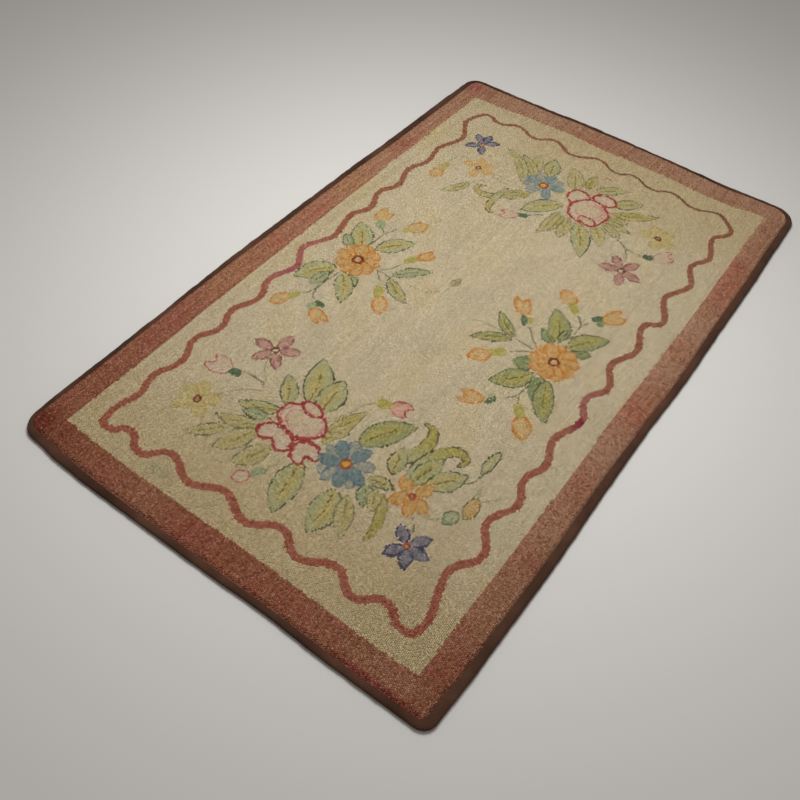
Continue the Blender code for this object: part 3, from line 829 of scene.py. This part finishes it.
def hook_border(rug):
    """The rose border, redder and darker towards the near end; returns its loops."""
    across = rug.x + 0.6 * rug.uneven
    along = rug.y + 0.6 * rug.uneven
    left = across < meeting(LEFT_MEETING, along)
    right = across > meeting(RIGHT_MEETING, along)
    near = along < meeting(NEAR_MEETING, across)
    far = along > meeting(FAR_MEETING, across)
    loops = np.flatnonzero(left | right | near | far)
    x = rug.x[loops]
    y = rug.y[loops]
    rug.mix(loops, "rose_far", 1.0)
    towards_near = clamp((350.0 - y) / 1000.0)
    rug.mix(loops, "rose_near", towards_near)
    wine = drift(x, y, 60.0, seed=11) + 0.5 * drift(x, y, 22.0, seed=12)
    rug.mix(loops, "rose_wine", np.clip(0.08 + 0.17 * wine, 0.0, 0.5) * (0.5 + 0.5 * towards_near))
    hook_patches(rug, loops, BORDER_PATCHES)
    return loops


def heather_and_painted_light(rug, border_loops, row_numbers):
    """Gives every loop its own brightness, more so in the darker yarns: yarn tone with a grey share that
    paints highlight and shade on the loops, and painted highlight and painted shade on a few border loops.
    """
    draws = np.random.default_rng(SEED + 1)
    count = len(rug.x)
    darkness = clamp(1.0 - rug.colour.mean(axis=1) / yarn("cream").mean())
    amount = CREAM_VARIATION + DYED_VARIATION * darkness
    brightness = 1.0 + amount * draws.standard_normal(count)
    row_tone = draws.standard_normal(row_numbers.max() + 1)[row_numbers]
    row_contrast = np.full(count, ROW_CONTRAST)
    row_contrast[border_loops] = BORDER_ROW_CONTRAST
    mottle = MOTTLE * drift(rug.x, rug.y, 9.0, seed=9, waves=12)
    warmth = 0.02 * draws.standard_normal(count)
    tone = np.clip(brightness, 0.45, 1.7) * (1.0 + row_contrast * row_tone + mottle)
    # The grey share makes part of each loop's change neutral in hue: painted highlight and painted shade,
    # over the yarn tone
    greyed = (1.0 - GREY_SHARE) * rug.colour + GREY_SHARE * rug.colour.mean(axis=1, keepdims=True)
    rug.colour += (tone - 1.0)[:, None] * greyed
    rug.colour[:, 0] *= 1.0 + warmth
    rug.colour[:, 2] *= 1.0 - 1.5 * warmth
    # Painted shade on a few border loops, and painted highlights on fewer
    odd = draws.random(len(border_loops))
    rug.mix(border_loops[odd < 0.06], "rose_painted_shade", 0.55)
    rug.mix(border_loops[odd > 0.97], "rose_painted_highlight", 0.35)


def hook_design(rug):
    """The whole design; returns the loops of the border."""
    hook_ground(rug)
    hook_wave(rug)
    for shape in TOP_SPRAY + LEFT_SPRAY + RIGHT_SPRAY + BOTTOM_SPRAY + ROSES + BLUE_FLOWERS:
        HOOKS[type(shape)](rug, shape)
    return hook_border(rug)


def add_object(name, data):
    """A new object of the scene, with this data."""
    made = bpy.data.objects.new(name, data)
    bpy.context.scene.collection.objects.link(made)
    return made


def mesh_piece(name, points, faces, colours, material, bake_map=None):
    """A piece of these points and faces, with a colour at each point, which includes painted shade where the
    caller has darkened it.
    """
    mesh = bpy.data.meshes.new(name)
    sides = faces.shape[1]
    mesh.vertices.add(len(points))
    mesh.vertices.foreach_set("co", points.astype(np.float32).ravel())
    mesh.loops.add(faces.size)
    mesh.loops.foreach_set("vertex_index", faces.astype(np.int32).ravel())
    mesh.polygons.add(len(faces))
    mesh.polygons.foreach_set("loop_start", np.arange(0, faces.size, sides, dtype=np.int32))
    mesh.update(calc_edges=True)
    mesh.shade_smooth()
    layer = mesh.attributes.new("point_colour", "FLOAT_COLOR", "POINT")
    rgba = np.column_stack([colours, np.ones(len(colours))])
    layer.data.foreach_set("color", rgba.astype(np.float32).ravel())
    if bake_map is None:
        low = points[:, :2].min(0)
        span = np.ptp(points[:, :2], axis=0)
        bake_map = (0.01 + 0.98 * (points[:, :2] - low) / span)[faces.ravel()]
    mesh.uv_layers.new(name="OFBake").data.foreach_set("uv", bake_map.astype(np.float32).ravel())
    mesh.materials.append(material)
    mesh.validate()
    return add_object(name, mesh)


def evenly(low, high, pitch):
    """Places between two ends, about one pitch apart."""
    count = round((high - low) / pitch)
    return np.linspace(low, high, count + 1)


def grid_lines(inset, across_pitch, along_pitch):
    """The plain rectangle's lines across and along, this far inside its sides."""
    columns = evenly(-RIM_LEFT + inset, RIM_RIGHT - inset, across_pitch)
    return columns, evenly(-RIM_NEAR + inset, RIM_FAR - inset, along_pitch)


def rim_roll(x, y):
    """How far the pile rolls over at the rim: none inside, 1 at the edge."""
    return clamp(1.0 - rim_inset(x, y) / RIM_ROLL)


def loop_places(draws):
    """The loops' places on the plain rectangle, and the number of each one's row."""
    columns, lines = grid_lines(LOOP_INSET, ROW_PITCH, LOOP_PITCH)
    rows = np.repeat(np.arange(len(columns)), len(lines))
    x = np.repeat(columns, len(lines))
    y = np.tile(lines, len(columns)) + np.where(rows % 2 == 0, 0.25, -0.25) * LOOP_PITCH
    x = x + draws.normal(0.0, LOOP_WANDER, len(x))
    y = y + draws.normal(0.0, 1.3 * LOOP_WANDER, len(y))
    x = np.clip(x, -RIM_LEFT + 0.7 * LOOP_INSET, RIM_RIGHT - 0.7 * LOOP_INSET)
    y = np.clip(y, -RIM_NEAR + 0.7 * LOOP_INSET, RIM_FAR - 0.7 * LOOP_INSET)
    return x, y, rows


def build_pile(material):
    """The loops as domes, in strips across the rug."""
    draws = np.random.default_rng(SEED)
    plain_x, plain_y, rows = loop_places(draws)
    x, y = plan_point(plain_x, plain_y)
    rug = Pattern(x, y, SEED + 2)
    border_loops = hook_design(rug)
    heather_and_painted_light(rug, border_loops, rows)
    count = len(x)
    roll = rim_roll(plain_x, plain_y)
    top = PILE_THICKNESS + swell(x, y) - RIM_DROP * roll**1.6
    top = top + draws.normal(0.0, LOOP_HEIGHT_VARIATION, count)
    size = draws.uniform(0.92, 1.12, count)
    start = draws.uniform(0.0, math.tau / LOOP_SIDES, count)
    points = np.empty((count, LOOP_SIDES + 1, 3))
    points[:, 0, 0] = x + draws.normal(0.0, LOOP_LEAN, count)
    points[:, 0, 1] = y + draws.normal(0.0, LOOP_LEAN, count)
    points[:, 0, 2] = top
    for side in range(LOOP_SIDES):
        angle = start + math.tau * side / LOOP_SIDES
        points[:, side + 1, 0] = x + LOOP_SPREAD * ROW_PITCH * size * np.cos(angle)
        points[:, side + 1, 1] = y + LOOP_SPREAD * LOOP_PITCH * size * np.sin(angle)
        points[:, side + 1, 2] = top - LOOP_FALL
    # The rim's darkening: partly painted shade beside the binding, partly dirt
    shaded = rug.colour * (1.0 - RIM_PAINTED_SHADE_AND_DIRT * roll)[:, None]
    colours = np.repeat(shaded[:, None, :], LOOP_SIDES + 1, axis=1)
    # Painted shade at the loops' roots, where neighbouring loops meet
    colours[:, 1:] *= LOOP_ROOT_PAINTED_SHADE
    fan = [(0, side + 1, (side + 1) % LOOP_SIDES + 1) for side in range(LOOP_SIDES)]
    edges = np.quantile(y, np.linspace(0.0, 1.0, PILE_STRIPS + 1))
    strips = []
    for number in range(PILE_STRIPS):
        last = number == PILE_STRIPS - 1
        inside = (y >= edges[number]) & ((y < edges[number + 1]) | last)
        starts = np.arange(inside.sum()) * (LOOP_SIDES + 1)
        faces = (starts[:, None, None] + np.array(fan)).reshape(-1, 3)
        name = f"pile_strip_{number + 1}"
        strips.append(
            mesh_piece(name, points[inside].reshape(-1, 3), faces, colours[inside].reshape(-1, 3), material)
        )
    return strips


def build_foundation(material):
    """The foundation cloth: a closed thin slab under the loops, over the hem at its rim. Its top is darkened
    as painted shade between the loops.
    """
    columns, lines = grid_lines(FOUNDATION_INSET, FOUNDATION_STEP, FOUNDATION_STEP)
    plain_x = np.repeat(columns, len(lines))
    plain_y = np.tile(lines, len(columns))
    x, y = plan_point(plain_x, plain_y)
    over_hem = rim_inset(plain_x, plain_y) < HEM_ROW_REACH + FOUNDATION_STEP
    under = np.where(over_hem, HEM_THICKNESS + GAP, 0.0)
    roll = rim_roll(plain_x, plain_y)
    top = FOUNDATION_TOP + swell(x, y) - RIM_DROP * roll
    points = np.concatenate([np.column_stack([x, y, top]), np.column_stack([x, y, under])])
    number = np.arange(len(x)).reshape(len(columns), -1)
    upper = np.stack([number[:-1, :-1], number[1:, :-1], number[1:, 1:], number[:-1, 1:]], -1).reshape(-1, 4)
    lower = upper[:, ::-1] + number.size
    ring = np.concatenate([number[:-1, 0], number[-1, :-1], number[:0:-1, -1], number[0, :0:-1]])
    after = np.roll(ring, -1)
    walls = np.stack([ring, ring + number.size, after + number.size, after], -1)
    faces = np.concatenate([upper, lower, walls])
    rug = Pattern(x, y, SEED + 3)
    hook_design(rug)
    seen_from_below = 0.55 * rug.colour + 0.45 * yarn("burlap")
    # Painted shade: the top, seen only between the loops, takes the pattern's colour darkened to 0.45
    colours = np.concatenate([0.45 * rug.colour, seen_from_below])
    return mesh_piece("foundation_cloth", points, faces, colours, material)


def rim_stations():
    """Points along the pile's rim, about one step apart and anticlockwise from above."""
    columns, lines = grid_lines(0.0, BINDING_STEP, BINDING_STEP)
    near = np.column_stack([columns[:-1], np.full(len(columns) - 1, -RIM_NEAR)])
    right = np.column_stack([np.full(len(lines) - 1, RIM_RIGHT), lines[:-1]])
    far = np.column_stack([columns[:0:-1], np.full(len(columns) - 1, RIM_FAR)])
    left = np.column_stack([np.full(len(lines) - 1, -RIM_LEFT), lines[:0:-1]])
    plain = np.concatenate([near, right, far, left])
    return np.column_stack(plan_point(plain[:, 0], plain[:, 1]))


def tape_width(rim, out):
    """The tape's width along the rim; at a corner one side's turns into the next's."""
    x, y = rim.T
    long_side = np.where(out[:, 0] > 0.0, edge_at(RIGHT_EDGE, y)[1], edge_at(LEFT_EDGE, y)[1])
    short_side = np.where(out[:, 1] > 0.0, edge_at(FAR_EDGE, x)[1], edge_at(NEAR_EDGE, x)[1])
    return long_side * out[:, 0] ** 2 + short_side * out[:, 1] ** 2


def fuller(value):
    """Swells a sine or cosine, so that the rolled edge is squarer than an ellipse."""
    return np.copysign(np.abs(value) ** (2.0 / BINDING_FULLNESS), value)


def quad_map(left, right, low, high):
    """Map places for the corners of faces between these sides."""
    corners = ((left, low), (right, low), (right, high), (left, high))
    return np.stack([np.column_stack(corner) for corner in corners], 1).reshape(-1, 2)


def build_binding(material):
    """The rolled tape with its small puckers, and the hem under the rug."""
    rim = rim_stations()
    count = len(rim)
    after = np.roll(rim, -1, axis=0)
    run = after - np.roll(rim, 1, axis=0)
    run /= np.hypot(*run.T)[:, None]
    out = np.column_stack([run[:, 1], -run[:, 0]])
    half_width = (tape_width(rim, out) - GAP) / 2.0
    half_height = BINDING_HEIGHT / 2.0
    pucker = drift(*rim.T, 0.045, seed=21) + 0.6 * drift(*rim.T, 0.016, seed=22)
    rings = []
    for step in range(BINDING_ROLL_STEPS + 1):
        angle = math.pi * (1.0 - 1.5 * step / BINDING_ROLL_STEPS)
        proud = PUCKER_HEIGHT * pucker * max(0.0, math.sin(angle + 0.25 * math.pi))
        distance = GAP + half_width * (1.0 + fuller(math.cos(angle))) + proud * math.cos(angle)
        height = half_height * (1.0 + fuller(math.sin(angle))) + proud * max(0.0, math.sin(angle))
        rings.append((distance, height))
    inward = np.linspace(GAP, -HEM_REACH, HEM_STEPS + 1)
    rings += [(place, 0.0) for place in inward]
    rings += [(place, HEM_THICKNESS) for place in inward[::-1]]
    around = len(rings)
    points = np.empty((count, around, 3))
    for number, (distance, height) in enumerate(rings):
        points[:, number, :2] = rim + out * np.reshape(distance, (-1, 1))
        points[:, number, 2] = height
    station = np.repeat(np.arange(count), around)
    section = np.tile(np.arange(around), count)
    first = station * around
    second = (station + 1) % count * around
    next_section = (section + 1) % around
    faces = np.stack([first + section, second + section, second + next_section, first + next_section], -1)
    per_row = math.ceil(count / BAKE_ROWS)
    row = station // per_row
    place = station % per_row
    low = (row + 0.02 + 0.96 * section / around) / BAKE_ROWS
    high = (row + 0.02 + 0.96 * (section + 1) / around) / BAKE_ROWS
    bake_map = quad_map(place / per_row, (place + 0.98) / per_row, low, high)
    worn = np.clip(1.0 + 0.18 * drift(*rim.T, 0.12, seed=23), 0.6, 1.5)
    colours = np.repeat(worn[:, None] * np.array([TAPE_COLOUR]), around, axis=0)
    piece = mesh_piece("binding_roll", points.reshape(-1, 3), faces, colours, material, bake_map)
    along = np.concatenate([[0.0], np.cumsum(np.hypot(*(after - rim).T))])
    thread_map = quad_map(along[station], along[station + 1], section * RING_STEP, (section + 1) * RING_STEP)
    thread = piece.data.uv_layers.new(name="thread")
    thread.data.foreach_set("uv", thread_map.astype(np.float32).ravel())
    return piece


class Finish:
    """A material's node tree, with short ways to add and join nodes."""

    def __init__(self, name, roughness, sheen):
        self.material = bpy.data.materials.new(name)
        self.material.use_nodes = True
        self.tree = self.material.node_tree
        self.surface = self.tree.nodes["Principled BSDF"]
        dull = {"Roughness": roughness, "Specular IOR Level": 0.12, "Sheen Weight": sheen}
        for name, value in dull.items():
            self.put(self.surface.inputs[name], value)

    def node(self, kind, inputs=None, **settings):
        """A new node with these settings and unlinked values or links."""
        node = self.tree.nodes.new(kind)
        for name, value in settings.items():
            setattr(node, name, value)
        for name, value in (inputs or {}).items():
            self.put(node.inputs[name], value)
        return node

    def put(self, socket, value):
        """Links an output to the socket, or sets the socket's own value."""
        if isinstance(value, bpy.types.NodeSocket):
            self.tree.links.new(value, socket)
        else:
            socket.default_value = value

    def place(self):
        """The point's place on the object."""
        return self.node("ShaderNodeTexCoord").outputs["Object"]

    def noise(self, scale, detail=2.0, place=None):
        """A soft random value, with about this many patches to the metre."""
        vector = place or self.place()
        node = self.node("ShaderNodeTexNoise", {"Vector": vector, "Scale": scale, "Detail": detail})
        return node.outputs["Fac"]

    def math(self, operation, first, second):
        """This operation on two values."""
        node = self.node("ShaderNodeMath", operation=operation)
        self.put(node.inputs[0], first)
        self.put(node.inputs[1], second)
        return node.outputs[0]

    def spread(self, value, low, high):
        """Takes a noise value to the range from low to high."""
        limits = {"Value": value, "From Min": 0.3, "From Max": 0.7, "To Min": low, "To Max": high}
        return self.node("ShaderNodeMapRange", limits).outputs["Result"]

    def point_colour(self):
        """The colour that the mesh holds at each point, with any painted shade in it."""
        return self.node("ShaderNodeAttribute", attribute_name="point_colour").outputs["Color"]

    def times(self, colour, factor):
        """A colour made lighter or darker."""
        node = self.node("ShaderNodeVectorMath", operation="SCALE")
        self.put(node.inputs[0], colour)
        self.put(node.inputs["Scale"], factor)
        return node.outputs[0]

    def finish(self, colour, height, distance, strength):
        """Joins the colour and the fine relief to the surface."""
        self.put(self.surface.inputs["Base Color"], colour)
        relief = self.node("ShaderNodeBump", {"Height": height, "Distance": distance, "Strength": strength})
        self.put(self.surface.inputs["Normal"], relief.outputs["Normal"])
        return self.material


def wool_material():
    """Dull, slightly hairy wool yarn, unevenly dyed."""
    wool = Finish("hooked_wool_loops", roughness=0.95, sheen=0.18)
    strands = wool.noise(1500.0, detail=3.0)
    dye = wool.noise(420.0)
    shade = wool.math("MULTIPLY", wool.spread(strands, 0.86, 1.14), wool.spread(dye, 0.94, 1.06))
    return wool.finish(wool.times(wool.point_colour(), shade), strands, 0.0004, 0.5)


def foundation_material():
    """Plain woven foundation cloth."""
    cloth = Finish("foundation_weave", roughness=0.95, sheen=0.1)
    place = cloth.place()
    warp = cloth.node("ShaderNodeTexWave", {"Vector": place, "Scale": 51.0}, bands_direction="X")
    weft = cloth.node("ShaderNodeTexWave", {"Vector": place, "Scale": 46.0}, bands_direction="Y")
    weave = cloth.math("MULTIPLY", warp.outputs["Fac"], weft.outputs["Fac"])
    grain = cloth.spread(cloth.noise(900.0), 0.85, 1.12)
    shade = cloth.math("MULTIPLY", cloth.math("ADD", cloth.math("MULTIPLY", weave, 0.35), 0.72), grain)
    return cloth.finish(cloth.times(cloth.point_colour(), shade), weave, 0.0005, 0.6)


def tape_material():
    """Dark brown cotton twill with slanting ribs, slightly rubbed."""
    tape = Finish("brown_twill_tape", roughness=0.9, sheen=0.02)
    thread = tape.node("ShaderNodeUVMap", uv_map="thread").outputs["UV"]
    slant = tape.node("ShaderNodeTexWave", {"Vector": thread, "Scale": 130.0}, bands_direction="DIAGONAL")
    grain = tape.noise(1100.0, detail=3.0)
    rubbed = tape.noise(34.0, detail=3.0)
    shade = tape.math("MULTIPLY", tape.spread(grain, 0.82, 1.2), tape.spread(rubbed, 0.85, 1.25))
    height = tape.math("ADD", slant.outputs["Fac"], tape.math("MULTIPLY", grain, 0.6))
    return tape.finish(tape.times(tape.point_colour(), shade), height, 0.0003, 0.5)


def add_floor():
    """A plain pale floor, which is not part of the rug."""
    bpy.ops.mesh.primitive_plane_add(size=FLOOR_SIZE)
    floor = bpy.context.object
    floor.name = "floor"
    paint = bpy.data.materials.new("pale_floor")
    paint.use_nodes = True
    surface = paint.node_tree.nodes["Principled BSDF"]
    surface.inputs["Base Color"].default_value = FLOOR_COLOUR
    surface.inputs["Roughness"].default_value = 0.9
    floor.data.materials.append(paint)
    return floor


def light_scene():
    """Soft studio light: one broad lamp above the rug and an even pale surround."""
    light = bpy.data.lights.new("key_light", "AREA")
    light.shape = "SQUARE"
    light.size = LAMP_SIZE
    light.energy = LAMP_WATTS
    lamp = add_object("key_light", light)
    lamp.location = LAMP_PLACE
    lamp.rotation_euler = (Vector(LAMP_AIM) - Vector(LAMP_PLACE)).to_track_quat("-Z", "Y").to_euler()
    world = bpy.data.worlds.new("studio")
    world.use_nodes = True
    surround = world.node_tree.nodes["Background"]
    surround.inputs["Color"].default_value = SURROUND_COLOUR
    surround.inputs["Strength"].default_value = SURROUND_STRENGTH
    bpy.context.scene.world = world


def add_camera():
    """The camera, at the photograph's viewing angle."""
    lens = bpy.data.cameras.new("camera")
    lens.lens = CAMERA_LENS_MM
    lens.sensor_width = SENSOR_MM
    camera = add_object("camera", lens)
    camera.location = CAMERA_PLACE
    camera.rotation_euler = np.radians(CAMERA_TURN_DEGREES)
    bpy.context.scene.camera = camera


def main():
    add_camera()
    light_scene()
    floor = add_floor()
    bpy.context.scene.view_settings.view_transform = "Standard"
    strips = build_pile(wool_material())
    foundation = build_foundation(foundation_material())
    binding = build_binding(tape_material())
    for piece in strips + [foundation]:
        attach(piece, BODY)
        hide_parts("hooked_field")
    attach(binding, BODY)
    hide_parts("edge_binding")


main()
